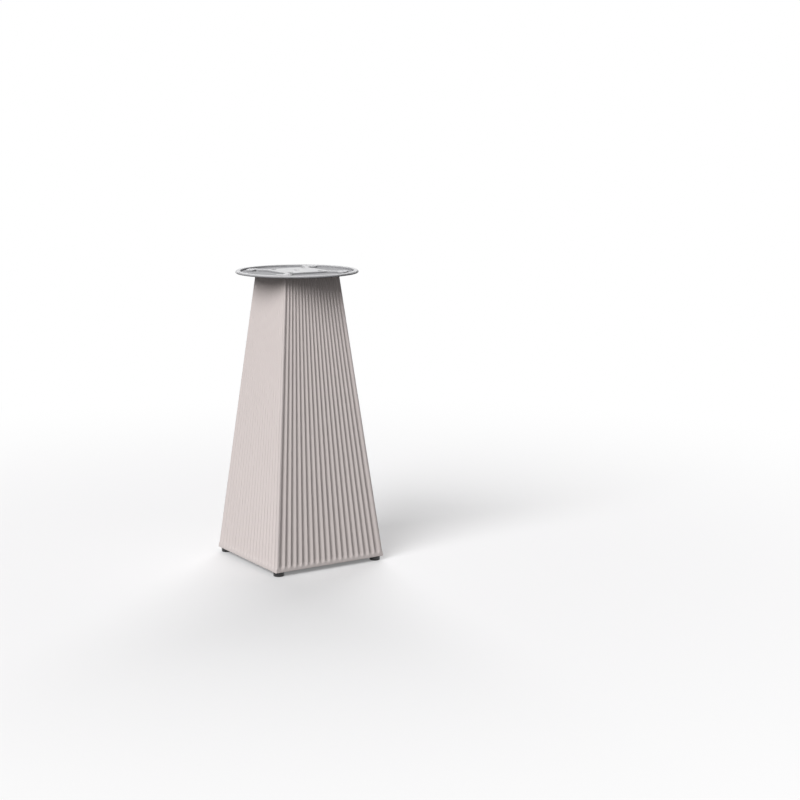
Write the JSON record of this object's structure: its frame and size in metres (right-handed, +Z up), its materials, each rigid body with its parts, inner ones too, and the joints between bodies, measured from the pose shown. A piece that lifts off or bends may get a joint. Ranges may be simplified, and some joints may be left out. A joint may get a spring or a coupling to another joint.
{
  "type": "pedestal table base",
  "caption": "Tapered square table pedestal with vertically fluted faces, a round cast plate on top to carry a table top, and levelling feet.",
  "frame": {"origin": "on the floor under the middle of the pedestal", "axes": "+Z up along the pedestal's axis, X and Y square to its faces"},
  "size_m": [0.3038, 0.3038, 0.718],
  "materials": {
    "body_plastic": "matte moulded polyethylene",
    "cast_aluminium": "satin casting",
    "steel": "plain",
    "brass": "plain",
    "black_glide": "gloss"
  },
  "bodies": {
    "pedestal": {"fluted_body": "body_plastic", "top_plate": "cast_aluminium", "plate_screws": "steel", "plate_inserts": "brass", "foot_inserts": "brass"},
    "foot_front_left": {"foot_glide_front_left": "black_glide", "foot_stud_front_left": "steel"},
    "foot_front_right": {"foot_glide_front_right": "black_glide", "foot_stud_front_right": "steel"},
    "foot_back_right": {"foot_glide_back_right": "black_glide", "foot_stud_back_right": "steel"},
    "foot_back_left": {"foot_glide_back_left": "black_glide", "foot_stud_back_left": "steel"}
  },
  "joints": [
    {"name": "foot_front_left_height", "type": "slide", "parent": "pedestal", "child": "foot_front_left", "axis": [0, 0, 1], "range_m": [-0.01, 0]},
    {"name": "foot_front_right_height", "type": "slide", "parent": "pedestal", "child": "foot_front_right", "axis": [0, 0, 1], "range_m": [-0.01, 0]},
    {"name": "foot_back_right_height", "type": "slide", "parent": "pedestal", "child": "foot_back_right", "axis": [0, 0, 1], "range_m": [-0.01, 0]},
    {"name": "foot_back_left_height", "type": "slide", "parent": "pedestal", "child": "foot_back_left", "axis": [0, 0, 1], "range_m": [-0.01, 0]}
  ]
}
